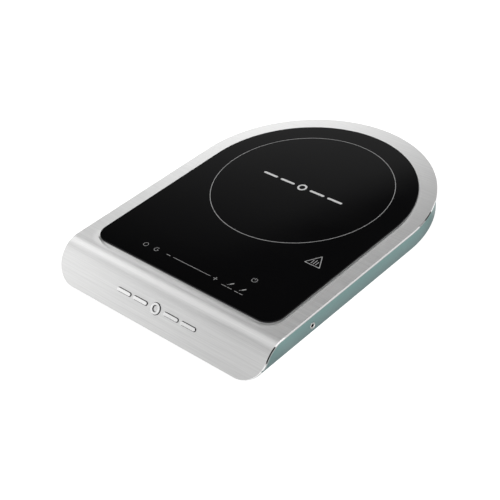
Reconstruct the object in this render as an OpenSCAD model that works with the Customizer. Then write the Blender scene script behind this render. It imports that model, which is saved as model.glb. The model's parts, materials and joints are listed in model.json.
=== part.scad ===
// Portable single-zone induction cooktop.
// Millimetres. +Z is up, +Y is the rear, +X is the right-hand side.
// The origin is on the table, under the middle of the outline.

/* [Steel top] */
// Width of the steel top, and the diameter of its rear arc
top_w = 290; // [286:1:300]
// Depth from the lower edge of the front panel to the rear arc
top_d = 389.4; // [386:0.2:392]
// Height of the glass surface above the table
glass_z = 52; // [52:1:56]
// Sheet thickness of the steel top
sheet_t = 2.5; // [2.4:0.1:2.6]
// Slope of the front panel below the horizontal, in degrees
front_slope = 51.5; // [45:0.5:58]
// Outside radius of the front bend
bend_r = 28.2; // [24:0.2:32]
// Length of the flat part of the front panel
panel_len = 29.5; // [28:0.5:34]
// Radius of the front panel's two lower corners
panel_corner_r = 28; // [10:1:28]
// Height of the raised bars on the front panel
motif_h = 1.2; // [0.4:0.1:1.5]

/* [Glass] */
// Width of the steel rim left beside the glass
rim_w = 18.3; // [17.3:0.1:20]
// Distance from the glass's front edge to the bend line
glass_front_gap = 6.9; // [5:0.1:12]
// Radius of the glass's two front corners
glass_corner_r = 17.8; // [12:0.2:22]
// Thickness of the ceramic glass
glass_t = 4; // [3.8:0.1:4]
// Height of the glass above the steel
glass_proud = 2; // [1.8:0.1:2.2]
// Bevel along the glass's top edge
glass_bevel = 0.5; // [0.3:0.1:1.6]

/* [Housing] */
// Depth of the coloured housing below the steel top
housing_h = 19.9; // [19:0.1:20.4]
// Wall thickness of the housing
housing_t = 2; // [1.6:0.1:2.4]
// Set-back of the housing from the steel top's edge
housing_inset = 1.4; // [1:0.1:2]
// Height of the rubber feet
foot_h = 4; // [3:0.5:4]
// Wall thickness of the base tray
tray_t = 2.2; // [1.8:0.1:2.6]

/* [Coil] */
// Number of turns of the coil
coil_turns = 13; // [8:1:13]
// Spacing between the turns
coil_pitch = 5.4; // [5:0.1:5.4]

/* [Fan] */
// Number of blades on the fan rotor
fan_blades = 7; // [5:1:9]
// Tilt of the blades, in degrees
blade_tilt = 38; // [30:1:45]

/* [Hidden] */
$fn = 72;
e = 0.01;

hw = top_w / 2;                       // half width of the steel top
arc_y = top_d / 2 - hw;               // centre of the rear arc
plate_z = glass_z - glass_proud;      // top face of the steel
under_z = plate_z - sheet_t;          // underside of the steel
bend_y = -top_d / 2 + bend_r * sin(front_slope) + panel_len * cos(front_slope);
bend_cz = plate_z - bend_r;           // height of the bend's centre line
bend_ri = bend_r - sheet_t;

g_hw = hw - rim_w;                    // half width of the glass
g_cy = arc_y - 2.5;                   // centre of the glass's rear arc
g_fy = bend_y + glass_front_gap;      // front edge of the glass
coil_y = arc_y - 1.8;                 // centre of the cooking zone

h_hw = hw - housing_inset;            // half width of the housing
h_z0 = under_z - housing_h;           // underside of the housing
t_hw = hw - 33.6;                     // half width of the base tray
t_fy = bend_y - 13.7;                 // front of the base tray
floor_z = foot_h + tray_t;            // top of the tray's floor
flange_t = 2.2;

stud_in = 7.5;                        // weld studs, measured in from the edge
jack_y = -109;
jack_z = under_z - 12.4;
gland_z = floor_z + 9.8;

board_z = floor_z + 5.8;              // underside of the circuit boards
board_t = 1.6;
bt_z = board_z + board_t;             // top of the circuit boards

mat_z = glass_z - glass_t - 1.6;      // stack under the glass, from the top down
mica_z = mat_z - 0.6;
coil_h = 3.4;
coil_z = mica_z - coil_h;
former_z = coil_z - 3;
ferrite_z = former_z - 4;
shield_z = ferrite_z - 1.2;
pillar_r = 84;
coil_r0 = 21;
coil_w = 4.2;

fan_x = 52;
fan_y = 48;
fan_s = 80;
fan_h = 15;

ctrl_z = glass_z - glass_t - 6;       // underside of the control board

steel = [0.78, 0.78, 0.77];
zinc = [0.72, 0.73, 0.75];
black = [0.03, 0.03, 0.035];
sage = [0.40, 0.54, 0.52];
dark = [0.12, 0.12, 0.13];
rubber_c = [0.06, 0.06, 0.06];
green = [0.05, 0.32, 0.16];
copper = [0.72, 0.38, 0.20];
alu = [0.80, 0.81, 0.83];
cream = [0.85, 0.82, 0.72];

// ---------- outline solids ----------

// half section of an edge, w wide, with optional chamfers
function half_section(w, z0, z1, ct, cb) = concat(
    [[0, z0]],
    cb > 0 ? [[w - cb, z0], [w, z0 + cb]] : [[w, z0]],
    ct > 0 ? [[w, z1 - ct], [w - ct, z1]] : [[w, z1]],
    [[0, z1]]);

function full_section(w, z0, z1, ct, cb) = concat(
    cb > 0 ? [[-w, z0 + cb], [-w + cb, z0], [w - cb, z0], [w, z0 + cb]] : [[-w, z0], [w, z0]],
    ct > 0 ? [[w, z1 - ct], [w - ct, z1], [-w + ct, z1], [-w, z1 - ct]] : [[w, z1], [-w, z1]]);

// slab with straight sides, a straight front and a half-round back
module d_slab(w, cy, fy, fr, z0, z1, ct = 0, cb = 0) {
    translate([0, cy, 0]) rotate_extrude(angle = 180)
        polygon(half_section(w, z0, z1, ct, cb));
    translate([0, cy, 0]) rotate([90, 0, 0]) linear_extrude(height = cy - fy - fr)
        polygon(full_section(w, z0, z1, ct, cb));
    if (fr > 0) {
        translate([w - fr, fy + fr, 0]) rotate([0, 0, -90]) rotate([90, 0, 0])
            linear_extrude(height = 2 * (w - fr)) polygon(half_section(fr, z0, z1, ct, cb));
        translate([w - fr, fy + fr, 0]) rotate([0, 0, -90]) rotate_extrude(angle = 90)
            polygon(half_section(fr, z0, z1, ct, cb));
        translate([fr - w, fy + fr, 0]) rotate([0, 0, 180]) rotate_extrude(angle = 90)
            polygon(half_section(fr, z0, z1, ct, cb));
    }
}

// ring between two such slabs, g wide
module d_ring(w, cy, fy, fr, z0, z1, g) {
    difference() {
        d_slab(w, cy, fy, fr, z0, z1);
        d_slab(w - g, cy, fy + g, max(fr - g, 1), z0 - 1, z1 + 1);
    }
}

// box from one corner to the other
module span(a, b) translate(a) cube([b[0] - a[0], b[1] - a[1], b[2] - a[2]]);

module rod(p, r, h) translate(p) cylinder(r = r, h = h);

// round wire through a list of points
module wire(pts, r) {
    for (i = [0 : len(pts) - 2]) {
        d = pts[i + 1] - pts[i];
        l = norm(d);
        translate(pts[i]) rotate([0, acos(d[2] / l), atan2(d[1], d[0])])
            cylinder(r = r, h = l);
        if (i > 0) translate(pts[i]) sphere(r = r);
    }
}

// pan-head screw standing on z = 0 with its shank below
module screw(r, l, hr, hh) {
    difference() {
        union() {
            cylinder(r = hr, h = hh);
            translate([0, 0, -l]) cylinder(r = r, h = l + hh / 2);
        }
        translate([-hr * 0.6, -0.35, hh * 0.45]) cube([hr * 1.2, 0.7, hh]);
        translate([-0.35, -hr * 0.6, hh * 0.45]) cube([0.7, hr * 1.2, hh]);
    }
}

// ---------- positions ----------

// weld studs along both sides and round the back, first axis pointing outwards
module at_studs() {
    for (s = [0, 1], y = [-118, -34]) mirror([s, 0, 0])
        translate([hw - stud_in, y, 0]) children();
    for (a = [14, 62, 118, 166]) translate([0, arc_y, 0]) rotate([0, 0, a])
        translate([hw - stud_in, 0, 0]) children();
}

// screws that hold the tray to the housing
module at_base_screws() {
    for (s = [0, 1], y = [-140, -50]) mirror([s, 0, 0])
        translate([t_hw + 4.2, y, 0]) children();
    for (a = [20, 70, 110, 160]) translate([0, arc_y, 0]) rotate([0, 0, a])
        translate([t_hw + 4.2, 0, 0]) children();
}

module at_feet() {
    for (s = [-1, 1]) {
        translate([s * 90, -147, 0]) children();
        translate([s * 76, 108, 0]) children();
    }
}

module at_pillars() {
    for (a = [45 : 90 : 315]) translate([0, coil_y, 0]) rotate([0, 0, a])
        translate([pillar_r, 0, 0]) children();
}

module at_power_posts() for (x = [-90, -10], y = [-1, 97]) translate([x, y, 0]) children();
module at_filter_posts() for (x = [-76, 56], y = [-146, -54]) translate([x, y, 0]) children();
module at_fan_screws() for (x = [-36, 36], y = [-36, 36])
    translate([fan_x + x, fan_y + y, 0]) children();
module at_clamp() for (x = [-11, 11]) translate([x, 148, 0]) children();

// ---------- steel top ----------

// everything in front of the bend line, seen from the side, shrunk by c
module nose_2d(c, low) {
    s = front_slope;
    r = bend_ri - c;
    n = [-sin(s), cos(s)];
    t = [-cos(s), -sin(s)];
    p = [bend_y, bend_cz] + n * r;
    k = (p[1] - low) / sin(s);
    intersection() {
        union() {
            translate([bend_y, bend_cz]) circle(r = r);
            polygon(concat([p, p + t * k, [bend_y, low]], bend_cz > low ? [[bend_y, bend_cz]] : []));
        }
        translate([bend_y - 80, low]) square([80, 80]);
    }
}

// side view extruded across the width
module across(w) translate([-w, 0, 0]) rotate([90, 0, 90]) linear_extrude(height = 2 * w) children();

module on_panel() translate([0, bend_y, bend_cz]) rotate([front_slope, 0, 0])
    translate([0, 0, bend_r]) children();

// points of the bend at radius r, from the flat top down to the panel
function bend_pts(r, n) = [for (i = [0 : n]) let (a = front_slope * i / n)
    [bend_y - r * sin(a), bend_cz + r * cos(a)]];

function reversed(v) = [for (i = [len(v) - 1 : -1 : 0]) v[i]];

// flat sheet, bend and sloped panel, closed by the half-round back
module bent_sheet() {
    down = panel_len * [-cos(front_slope), -sin(front_slope)];
    outer = bend_pts(bend_r, 24);
    inner = bend_pts(bend_ri, 24);
    across(hw) polygon(concat([[arc_y, plate_z]], outer, [outer[24] + down], [inner[24] + down],
        reversed(inner), [[arc_y, under_z]]));
    translate([0, arc_y, 0]) rotate_extrude(angle = 180) translate([0, under_z]) square([hw, sheet_t]);
}

module top_plate() color(steel) {
    difference() {
        bent_sheet();
        // opening for the glass
        d_slab(g_hw + 0.6, g_cy, g_fy - 0.6, glass_corner_r + 0.6, under_z - 1, plate_z + 1);
        // round lower corners
        for (s = [0, 1]) mirror([s, 0, 0]) on_panel() translate([hw, -panel_len, 0]) difference() {
            translate([-panel_corner_r, -5, -8]) cube([panel_corner_r + 5, panel_corner_r + 5, 16]);
            translate([-panel_corner_r, panel_corner_r, -9]) cylinder(r = panel_corner_r, h = 18);
        }
    }
    // raised ring and bars in the middle of the panel
    on_panel() translate([0, -7, -1]) motif();
    at_studs() rod([0, 0, under_z - 8.5], 1.5, 9.5);
}

// plain ring with two bars on each side of it
module motif() {
    h = motif_h + 1;
    difference() {
        cylinder(r = 6, h = h);
        translate([0, 0, 0.5]) cylinder(r = 3.6, h = h);
    }
    for (s = [-1, 1]) for (x = [14, 38]) translate([s * (x + 8), 0, 0]) {
        translate([-8, -1.8, 0]) cube([16, 3.6, h]);
        for (q = [-8, 8]) translate([q, 0, 0]) cylinder(r = 1.8, h = h);
    }
}

// ---------- glass ----------

module glass_top() color(black)
    d_slab(g_hw, g_cy, g_fy, glass_corner_r, glass_z - glass_t, glass_z, glass_bevel, 0.4);

module glass_gasket() color(dark)
    d_ring(g_hw + 0.6, g_cy, g_fy - 0.6, glass_corner_r + 0.6, under_z + 0.5, plate_z + 0.15, 0.6);

module glass_carrier() color(dark) difference() {
    union() {
        d_slab(g_hw + 5.6, g_cy, g_fy - 0.9, glass_corner_r, under_z - 2.5, under_z);
        d_slab(g_hw - 0.4, g_cy, g_fy + 0.4, glass_corner_r - 0.4, under_z - 1, glass_z - glass_t);
    }
    d_slab(g_hw - 7, g_cy, g_fy + 7, glass_corner_r - 6, under_z - 4, glass_z);
}

// ---------- housing ----------

module housing_outer(c, low) {
    intersection() {
        d_slab(h_hw - c, arc_y, -top_d / 2 - 10, 0, low, under_z, 0, c > 0 ? 0 : 0.4);
        union() {
            translate([-hw, bend_y, low - 1]) cube([2 * hw, top_d, 60]);
            across(hw) nose_2d(0.2 + c, low);
        }
    }
}

module housing_shell() color(sage) difference() {
    union() {
        difference() {
            housing_outer(0, h_z0);
            translate([0, 0, e]) housing_outer(housing_t, h_z0 + housing_t);
            d_slab(t_hw - tray_t, arc_y, t_fy + tray_t, 6, h_z0 - 1, h_z0 + housing_t + 1);
        }
        at_studs() translate([-3.8, -3.8, under_z - 4]) cube([10.4 - housing_inset, 7.6, 4]);
        at_base_screws() rod([0, 0, h_z0 + housing_t - e], 3.4, 5);
    }
    at_studs() rod([0, 0, under_z - 9], 1.7, 12);
    at_base_screws() rod([0, 0, h_z0 - 1], 1.35, 7);
    translate([h_hw - 8, jack_y, jack_z]) rotate([0, 90, 0]) cylinder(r = 2.85, h = 12);
}

module stud_nuts() color(zinc) at_studs() translate([0, 0, under_z - 6.4]) difference() {
    cylinder(r = 3.1, h = 2.4, $fn = 6);
    translate([0, 0, -1]) cylinder(r = 1.55, h = 5);
}

// ---------- base ----------

module base_tray() color(dark) difference() {
    union() {
        difference() {
            union() {
                d_slab(t_hw, arc_y, t_fy, 8, foot_h, h_z0, 0, 2);
                d_slab(t_hw + 8, arc_y, t_fy - 8, 12, h_z0 - flange_t, h_z0);
            }
            d_slab(t_hw - tray_t, arc_y, t_fy + tray_t, 6, floor_z, h_z0 + 1);
        }
        at_power_posts() rod([0, 0, floor_z - e], 3.5, 5.8 + e);
        at_filter_posts() rod([0, 0, floor_z - e], 3.5, 5.8 + e);
        at_clamp() rod([0, 0, floor_z - e], 3.4, 13.3 + e);
        at_pillars() rod([0, 0, floor_z - e], 5.2, 3);
    }
    at_power_posts() rod([0, 0, floor_z], 1.25, 8);
    at_filter_posts() rod([0, 0, floor_z], 1.25, 8);
    at_clamp() rod([0, 0, floor_z + 3], 1.25, 12);
    at_pillars() rod([0, 0, floor_z], 3.6, 5);
    at_base_screws() rod([0, 0, h_z0 - flange_t - 1], 1.6, 8);
    at_feet() rod([0, 0, foot_h - 1], 3.05, 6);
    at_fan_screws() rod([0, 0, foot_h - 1], 1.5, 6);
    // air intake under the fan
    intersection() {
        rod([fan_x, fan_y, foot_h - 1], 34, 5);
        for (i = [-5 : 5]) span([fan_x - 36, fan_y + i * 6 - 1.6, foot_h - 2],
            [fan_x + 36, fan_y + i * 6 + 1.6, floor_z + 2]);
    }
    // air outlets in both sides
    for (s = [0, 1]) mirror([s, 0, 0]) for (i = [0 : 11])
        span([t_hw - tray_t - 1, -112 + i * 8, floor_z + 2.5], [t_hw + 1, -108.5 + i * 8, h_z0 - 5]);
    translate([0, arc_y + t_hw - 8, gland_z]) rotate([-90, 0, 0]) cylinder(r = 7.1, h = 20);
}

module base_screws() color(zinc) at_base_screws() translate([0, 0, h_z0 - flange_t]) mirror([0, 0, 1])
    screw(1.3, 6, 2.8, 1.7);

module rubber_feet() color(rubber_c) at_feet() {
    cylinder(r1 = 8.2, r2 = 9, h = 0.8);
    rod([0, 0, 0.8], 9, foot_h - 0.8);
    rod([0, 0, foot_h - e], 3, tray_t + 2 * e);
    translate([0, 0, floor_z]) cylinder(r1 = 4.2, r2 = 3, h = 1.8);
}

// ---------- probe socket ----------

module at_jack() translate([h_hw, jack_y, jack_z]) rotate([0, 90, 0]) children();

module probe_bush() color(alu) at_jack() difference() {
    union() {
        cylinder(r = 3.5, h = 0.9);
        translate([0, 0, -8]) cylinder(r = 2.7, h = 8.1);
    }
    translate([0, 0, -9]) cylinder(r = 1.8, h = 12);
}

module probe_nut() color(zinc) at_jack() translate([0, 0, -housing_t - 2.2]) difference() {
    cylinder(r = 4.6, h = 2.2, $fn = 6);
    translate([0, 0, -1]) cylinder(r = 2.75, h = 5);
}

module probe_socket() color(dark) at_jack() difference() {
    translate([-4, -5, -22]) cube([8, 10, 14]);
    translate([0, 0, -19]) cylinder(r = 2.3, h = 12);
}

// ---------- cord entry ----------

module cord_gland() color(rubber_c) translate([0, arc_y + t_hw, gland_z]) rotate([-90, 0, 0]) difference() {
    union() {
        translate([0, 0, -tray_t - 2.6]) cylinder(r = 8.2, h = 2.1);
        translate([0, 0, -tray_t - 2]) cylinder(r = 7, h = tray_t + 3);
        cylinder(r = 8.2, h = 2);
        translate([0, 0, 2 - e]) cylinder(r1 = 6.6, r2 = 5.2, h = 13);
    }
    translate([0, 0, -10]) cylinder(r = 3.7, h = 40);
}

module cord_clamp() color(cream) difference() {
    span([-15, 144.5, floor_z + 13.3], [15, 151.5, floor_z + 16.5]);
    at_clamp() rod([0, 0, floor_z], 1.5, 30);
}

module clamp_screws() color(zinc) at_clamp() translate([0, 0, floor_z + 16.5]) screw(1.2, 10, 2.6, 1.6);

module terminal_block() color(cream) difference() {
    span([-6, 120, floor_z], [12, 134, floor_z + 14]);
    for (i = [-1 : 1]) {
        translate([3 + i * 5, 119, floor_z + 4]) rotate([-90, 0, 0]) cylinder(r = 1.6, h = 16);
        rod([3 + i * 5, 127, floor_z + 6], 1.8, 20);
    }
}

module mains_leads() color([0.45, 0.30, 0.20]) for (i = [-1 : 1]) {
    x = 3 + i * 5;
    wire([[x, 125, floor_z + 4], [x, -44, floor_z + 4], [x, -44, bt_z + 1.3],
        [x, -60, bt_z + 1.3]], 1.3);
}

// ---------- coil stack ----------

module insulation_mat() color(cream) difference() {
    rod([0, coil_y, mat_z], 98, 1.6);
    rod([0, coil_y, mat_z - 1], 9, 4);
}

module mica_sheet() color([0.62, 0.55, 0.42]) difference() {
    rod([0, coil_y, mica_z], 96, 0.6);
    rod([0, coil_y, mica_z - 1], 3.4, 3);
}

// flat spiral of litz wire made of half turns
module induction_coil() color(copper) translate([0, coil_y, coil_z]) rotate([0, 0, 180])
    for (i = [0 : coil_turns - 1]) {
        r = coil_r0 + i * coil_pitch;
        rotate_extrude(angle = 180) translate([r - coil_w / 2, 0]) square([coil_w, coil_h]);
        translate([coil_pitch / 2, 0, 0]) rotate([0, 0, 180]) rotate_extrude(angle = 180)
            translate([r + coil_pitch / 2 - coil_w / 2, 0]) square([coil_w, coil_h]);
    }

coil_out = coil_r0 + (coil_turns - 1) * coil_pitch + coil_pitch;

module coil_former() color([0.20, 0.20, 0.21]) translate([0, coil_y, former_z]) difference() {
    cylinder(r = 96, h = 3);
    translate([0, 0, -1]) cylinder(r = 7, h = 5);
    for (a = [22.5 : 45 : 337.5]) rotate([0, 0, a]) {
        translate([34, -4, -1]) cube([48, 8, 5]);
        translate([34, 0, -1]) cylinder(r = 4, h = 5);
        translate([82, 0, -1]) cylinder(r = 4, h = 5);
    }
    translate([-coil_r0, 4, -1]) cylinder(r = 2, h = 5);
}

module ferrite_bars() color([0.16, 0.15, 0.16]) for (a = [0 : 45 : 315]) translate([0, coil_y, ferrite_z])
    rotate([0, 0, a]) translate([30, -6, 0]) cube([58, 12, 4]);

module coil_shield() color(alu) translate([0, coil_y, shield_z]) difference() {
    cylinder(r = 97, h = 1.2);
    translate([0, 0, -1]) cylinder(r = 27, h = 4);
    for (a = [45 : 90 : 315]) rotate([0, 0, a]) translate([pillar_r, 0, -1]) cylinder(r = 1.7, h = 4);
}

module coil_pillars() color([0.75, 0.35, 0.20]) at_pillars() {
    rod([0, 0, floor_z], 3.5, shield_z - floor_z);
    rod([0, 0, floor_z + 3], 5, 1.5);
    rod([0, 0, shield_z - e], 1.6, 1.2);
}

module sensor_holder() color([0.80, 0.80, 0.78]) translate([0, coil_y, coil_z]) difference() {
    union() {
        cylinder(r = 11, h = 3.4);
        translate([0, 0, -3]) cylinder(r = 6.8, h = 3 + e);
    }
    translate([0, 0, -4]) cylinder(r = 3.1, h = 9);
}

module coil_sensor() color([0.85, 0.85, 0.88]) translate([0, coil_y, coil_z]) {
    translate([0, 0, -2]) cylinder(r = 3, h = 7);
    for (s = [-1, 1]) translate([s * 1.2, 0, -6]) cylinder(r = 0.5, h = 4 + e);
}

module coil_leads() color([0.80, 0.42, 0.30]) {
    zc = coil_z + coil_h / 2;
    // outer end, down the outside of the shield
    wire([[-coil_out, coil_y, zc], [-coil_out, coil_y - 7, zc], [-99.6, coil_y - 7, zc],
        [-99.6, coil_y - 7, bt_z + 1.7], [-89, coil_y - 7, bt_z + 1.7]], 1.6);
    // inner end, through the former and forwards to the board
    wire([[-coil_r0, coil_y, zc], [-coil_r0, coil_y + 4, zc], [-coil_r0, coil_y + 4, shield_z - 2.6],
        [-coil_r0, 2, shield_z - 2.6], [-coil_r0, 2, bt_z]], 1.6);
}

// ---------- fan ----------

module fan_frame() color(dark) translate([fan_x, fan_y, floor_z]) {
    difference() {
        translate([-fan_s / 2, -fan_s / 2, 0]) cube([fan_s, fan_s, fan_h]);
        translate([0, 0, -1]) cylinder(r = 37.5, h = fan_h + 2);
        for (x = [-36, 36], y = [-36, 36]) translate([x, y, -1]) cylinder(r = 1.8, h = fan_h + 2);
    }
    difference() {
        union() {
            cylinder(r = 15, h = 2);
            for (a = [0 : 120 : 240]) rotate([0, 0, a + 30]) translate([12, -2, 0]) cube([26.5, 4, 2]);
        }
        translate([0, 0, -1]) cylinder(r = 3, h = 4);
    }
}

module fan_stator() color(copper) translate([fan_x, fan_y, floor_z]) difference() {
    union() {
        cylinder(r = 2.9, h = 11.7);
        intersection() {
            translate([0, 0, 2.2]) cylinder(r = 10.8, h = 8.6);
            union() {
                translate([-11, -2.6, 2.2]) cube([22, 5.2, 8.6]);
                translate([-2.6, -11, 2.2]) cube([5.2, 22, 8.6]);
                translate([0, 0, 2.2]) cylinder(r = 6.5, h = 8.6);
            }
        }
    }
    translate([0, 0, -1]) cylinder(r = 1.55, h = 14);
}

module fan_rotor() color([0.16, 0.16, 0.17]) translate([fan_x, fan_y, floor_z]) {
    difference() {
        translate([0, 0, 3.3]) cylinder(r = 15.5, h = 10.2);
        translate([0, 0, 2.3]) cylinder(r = 12, h = 9.9);
    }
    translate([0, 0, 1]) cylinder(r = 1.5, h = 12);
    intersection() {
        difference() {
            translate([0, 0, 3.5]) cylinder(r = 36.5, h = 9.8);
            translate([0, 0, 3]) cylinder(r = 15, h = 12);
        }
        for (i = [0 : fan_blades - 1]) rotate([0, 0, i * 360 / fan_blades])
            translate([0, 0, 8.4]) rotate([blade_tilt, 0, 0]) translate([12, -14, -0.7]) cube([26, 28, 1.4]);
    }
}

module fan_screws() color(zinc) at_fan_screws() translate([0, 0, floor_z + fan_h]) screw(1.4, fan_h + 2, 3, 1.8);

// ---------- electronics ----------

module power_board() color(green) difference() {
    span([-94, -5, board_z], [-6, 101, bt_z]);
    at_power_posts() rod([0, 0, board_z - 1], 1.6, 4);
}

module heatsink() color(alu) {
    span([-84, 38, bt_z + 5], [-26, 92, bt_z + 8]);
    for (i = [0 : 8]) span([-84 + i * 7, 38, bt_z + 8 - e], [-82 + i * 7, 92, bt_z + 14]);
}

module power_transistor() color(dark) for (x = [-74, -54]) {
    difference() {
        span([x, 44, bt_z], [x + 15.8, 64, bt_z + 5]);
        rod([x + 7.9, 60, bt_z - 1], 1.8, 7);
    }
    for (k = [2.4, 7.9, 13.4]) span([x + k - 0.6, 40, bt_z], [x + k + 0.6, 44 + e, bt_z + 0.8]);
}

module bridge_rectifier() color(dark) {
    span([-68, 70, bt_z], [-40, 86, bt_z + 5]);
    for (k = [0 : 3]) span([-65 + k * 7, 66, bt_z], [-63.8 + k * 7, 70 + e, bt_z + 0.8]);
}

module film_capacitors() color([0.15, 0.30, 0.55]) {
    span([-88, 4, bt_z], [-58, 15, bt_z + 14.5]);
    span([-88, 20, bt_z], [-62, 30, bt_z + 13]);
    span([-52, 16, bt_z], [-34, 27, bt_z + 12]);
}

module smoothing_capacitor() color([0.10, 0.10, 0.30]) rod([-16, 22, bt_z], 5, 13);

module filter_board() color(green) difference() {
    span([-80, -150, board_z], [60, -50, bt_z]);
    at_filter_posts() rod([0, 0, board_z - 1], 1.6, 4);
}

// ring core with a short winding
module mains_choke() color([0.75, 0.45, 0.22]) translate([-10, -104, bt_z]) difference() {
    union() {
        cylinder(r = 15, h = 12);
        for (a = [30 : 30 : 150], s = [0, 180]) rotate([0, 0, a + s]) translate([11, 0, 6])
            rotate([90, 0, 0]) cylinder(r = 6.2, h = 2.2, center = true);
    }
    translate([0, 0, -1]) cylinder(r = 4.2, h = 20);
    translate([-30, -30, -3]) cube([60, 60, 3]);
}

module mains_fuse() color([0.85, 0.85, 0.82]) translate([30, -96, bt_z + 4]) rotate([90, 0, 0]) {
    cylinder(r = 2.6, h = 22);
    for (z = [0, 17]) difference() {
        translate([-3.4, -4, z]) cube([6.8, 7, 5]);
        translate([-2, 1.5, z - 1]) cube([4, 4, 7]);
    }
}

module board_screws() color(zinc) {
    at_power_posts() translate([0, 0, bt_z]) screw(1.2, 6, 2.6, 1.6);
    at_filter_posts() translate([0, 0, bt_z]) screw(1.2, 6, 2.6, 1.6);
}

// ---------- controls under the glass ----------

module control_bracket() color(dark) {
    difference() {
        span([-104, -139, ctrl_z - 2], [104, -101, ctrl_z]);
        span([-90, -134, ctrl_z - 4], [-15, -106, ctrl_z + 1]);
        span([15, -134, ctrl_z - 4], [90, -106, ctrl_z + 1]);
    }
    for (x = [-99, 99], y = [-134, -106]) rod([x, y, floor_z], 3, ctrl_z - 2 - floor_z + e);
}

module control_board() color(green) span([-100, -137, ctrl_z], [100, -103, ctrl_z + 1.6]);

module touch_springs() color(zinc) for (x = [-67, -51.4, -34, -18, 0, 18, 33, 50, 67])
    translate([x, -125.6, ctrl_z + 1.6]) difference() {
        cylinder(r = 3.6, h = 4.4);
        translate([0, 0, -1]) cylinder(r = 2.6, h = 7);
    }

module light_guide() color([0.92, 0.92, 0.90]) difference() {
    span([-32, -117, ctrl_z + 1.6], [32, -111, glass_z - glass_t - 0.2]);
    for (i = [-3 : 3]) rod([i * 9, -114, ctrl_z], 1.6, 12);
}

module beeper() color(black) translate([84, -120, ctrl_z + 1.6]) difference() {
    cylinder(r = 5.5, h = 4);
    translate([0, 0, 2]) cylinder(r = 1, h = 4);
}

module ribbon_cable() color([0.75, 0.75, 0.78]) {
    zr = shield_z - 5;
    span([-47, -101, zr], [-33, -99.8, ctrl_z + 1]);
    span([-47, -103, ctrl_z + 0.3], [-33, -99.8, ctrl_z + 1.3]);
    span([-47, -101, zr - 1], [-33, -0.6, zr + e]);
    span([-47, -1.8, bt_z], [-33, -0.6, zr]);
}

top_plate();
glass_top();
glass_gasket();
glass_carrier();
housing_shell();
stud_nuts();
base_tray();
base_screws();
rubber_feet();
probe_bush();
probe_nut();
probe_socket();
cord_gland();
cord_clamp();
clamp_screws();
terminal_block();
mains_leads();
insulation_mat();
mica_sheet();
induction_coil();
coil_former();
ferrite_bars();
coil_shield();
coil_pillars();
sensor_holder();
coil_sensor();
coil_leads();
fan_frame();
fan_stator();
fan_rotor();
fan_screws();
power_board();
heatsink();
power_transistor();
bridge_rectifier();
film_capacitors();
smoothing_capacitor();
filter_board();
mains_choke();
mains_fuse();
board_screws();
control_bracket();
control_board();
touch_springs();
light_guide();
beeper();
ribbon_cable();
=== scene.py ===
import json
import math
import random

import bpy
from mathutils import Matrix, Vector


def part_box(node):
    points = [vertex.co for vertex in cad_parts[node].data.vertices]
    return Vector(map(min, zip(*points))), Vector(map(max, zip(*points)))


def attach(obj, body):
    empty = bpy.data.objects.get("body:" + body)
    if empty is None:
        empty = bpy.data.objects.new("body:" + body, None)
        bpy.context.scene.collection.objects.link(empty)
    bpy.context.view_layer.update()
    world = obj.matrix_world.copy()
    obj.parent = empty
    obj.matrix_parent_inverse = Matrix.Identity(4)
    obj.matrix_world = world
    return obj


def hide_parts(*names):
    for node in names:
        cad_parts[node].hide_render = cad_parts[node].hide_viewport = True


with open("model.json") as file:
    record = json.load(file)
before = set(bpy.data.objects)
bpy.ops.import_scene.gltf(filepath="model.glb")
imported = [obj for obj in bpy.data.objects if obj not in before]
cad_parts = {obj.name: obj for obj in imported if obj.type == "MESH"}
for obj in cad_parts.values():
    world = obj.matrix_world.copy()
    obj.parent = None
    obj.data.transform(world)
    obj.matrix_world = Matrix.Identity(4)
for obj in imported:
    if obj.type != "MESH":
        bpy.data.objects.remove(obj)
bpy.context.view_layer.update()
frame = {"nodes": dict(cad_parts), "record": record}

random.seed(4)

scene = bpy.context.scene
scene.view_settings.view_transform = "Standard"
scene.view_settings.look = "None"
scene.view_settings.exposure = 0.0
scene.view_settings.gamma = 1.0

MM = 0.001

# sizes of the CAD part, in millimetres, used to rebuild its outer pieces
HW, ARC_Y, TOP_D = 145.0, 49.7, 389.4
PLATE_Z, SHEET = 50.0, 2.5
SLOPE = math.radians(51.5)
BEND_R = 28.2
PANEL_LEN, PANEL_R = 29.5, 28.0
BEND_Y = -TOP_D / 2 + BEND_R * math.sin(SLOPE) + PANEL_LEN * math.cos(SLOPE)
BEND_CZ = PLATE_Z - BEND_R
S1 = BEND_R * SLOPE
G_HW, G_CY, G_FY, G_CR = 126.7, 47.2, BEND_Y + 6.9, 17.8
GLASS_Z = 52.0
COIL_Y = 47.9
H_HW = 143.6

# the model's measured height is the frame's, so a wrong pack is noticed here
glass_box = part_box("glass_top")
assert abs(glass_box[1].z - GLASS_Z * MM) < 2e-4 and abs(glass_box[1].x - G_HW * MM) < 5e-4


# ------------------------------------------------------------------ camera

def make_camera():
    right = Vector((0.7385309903, 0.6683209732, -0.0889890621))
    up = Vector((-0.3500501154, 0.4928902552, 0.7965702185))
    fwd = Vector((-0.5762264252, 0.5571411609, -0.5979605621))
    data = bpy.data.cameras.new("camera")
    data.sensor_width = 36.0
    data.lens = 86.4202
    data.shift_x, data.shift_y = -0.001, 0.001
    data.dof.use_dof = False
    data.clip_start, data.clip_end = 0.02, 60.0
    cam = bpy.data.objects.new("camera", data)
    m = Matrix((right, up, -fwd)).transposed().to_4x4()
    m.translation = Vector((0.7390233187, -0.7556007867, 0.7872512574))
    cam.matrix_world = m
    scene.collection.objects.link(cam)
    scene.camera = cam


make_camera()


# --------------------------------------------------------------- materials

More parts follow.
